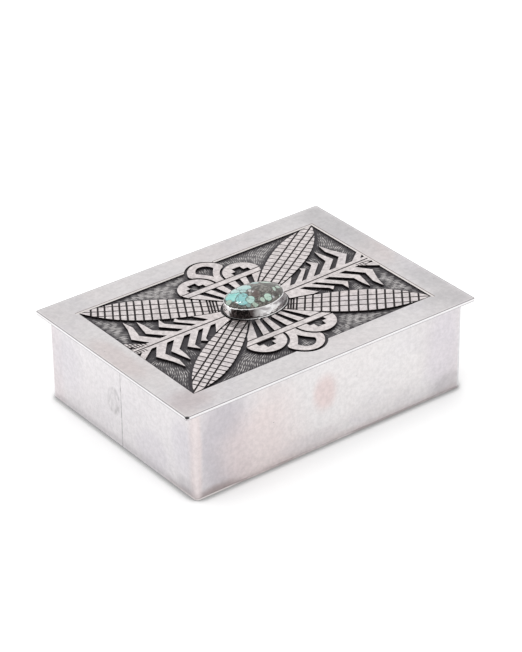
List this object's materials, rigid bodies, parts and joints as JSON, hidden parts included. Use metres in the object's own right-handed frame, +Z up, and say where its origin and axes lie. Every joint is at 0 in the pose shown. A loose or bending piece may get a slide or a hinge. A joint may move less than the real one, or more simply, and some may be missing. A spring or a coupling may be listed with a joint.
{
  "type": "hinged silver box",
  "caption": "Rectangular hinged silver box with an overlay lid of maize ears, maize plants, rain clouds and rays round a bezel-set turquoise",
  "frame": {"origin": "on the surface that the box stands on, under the middle of the box", "axes": "+X along the box's length to the right, +Y from the front wall to the hinge wall, +Z up"},
  "size_m": [0.14, 0.0994, 0.0463],
  "materials": {
    "satin_silver": "satin silver with faint mottling",
    "overlay_silver": "satin silver, chased and stamped",
    "oxidised_silver": "blackened silver with chased strokes",
    "polished_silver": "polished silver",
    "hinge_silver": "drawn silver tube and wire",
    "turquoise": "polished green-blue stone with dark web and brown matrix"
  },
  "bodies": {
    "box": {"wall_band": "satin_silver", "bottom_plate": "satin_silver", "hinge_pin": "hinge_silver", "body_knuckle_left": "hinge_silver", "body_knuckle_middle": "hinge_silver", "body_knuckle_right": "hinge_silver"},
    "lid": {"lid_ground_plate": "oxidised_silver", "lid_frame": "overlay_silver", "ear_back_left": "overlay_silver", "ear_back_right": "overlay_silver", "ear_front_right": "overlay_silver", "ear_front_left": "overlay_silver", "plant_left": "overlay_silver", "plant_right": "overlay_silver", "cloud_back": "overlay_silver", "cloud_front": "overlay_silver", "bezel_base": "polished_silver", "bezel_wall": "polished_silver", "turquoise_stone": "turquoise", "lid_knuckle_left": "hinge_silver", "lid_knuckle_right": "hinge_silver"}
  },
  "joints": [
    {"name": "lid_hinge", "type": "hinge", "parent": "box", "child": "lid", "pos_m": [0, 0.048, 0.03737], "axis": [-1, 0, 0], "range_deg": [0, 120]}
  ]
}
